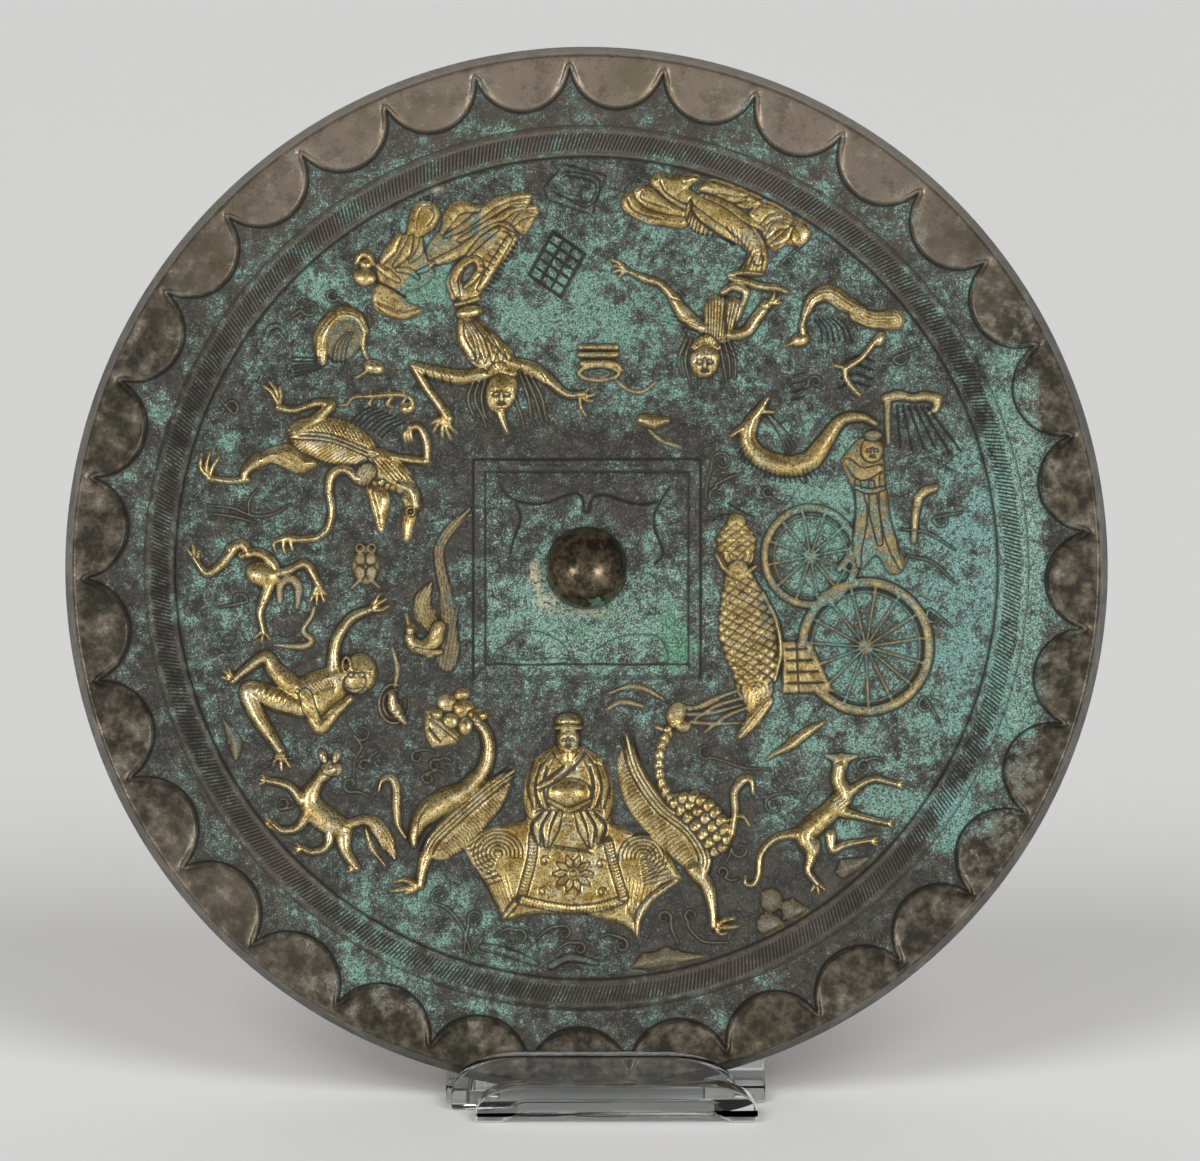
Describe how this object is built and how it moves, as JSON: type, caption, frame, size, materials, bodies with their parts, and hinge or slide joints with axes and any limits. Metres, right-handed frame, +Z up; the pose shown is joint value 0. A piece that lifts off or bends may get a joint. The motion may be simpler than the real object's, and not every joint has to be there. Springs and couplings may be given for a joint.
{
  "type": "bronze mirror on a clear cradle",
  "caption": "Round cast bronze mirror with a scalloped rim, a pierced central knob and gilded relief figures, leaning in a clear acrylic cradle.",
  "frame": {"origin": "centre of the whole part's bounding box, on the surface the cradle stands on", "axes": "+X across the decorated face to the viewer's right, -Y out of the decorated face towards the viewer, +Z up"},
  "size_m": [0.251, 0.0958, 0.2467],
  "materials": {
    "bronze": "satin",
    "acrylic": "gloss"
  },
  "bodies": {
    "root": {"mirror": "bronze", "stand": "acrylic"}
  },
  "joints": []
}
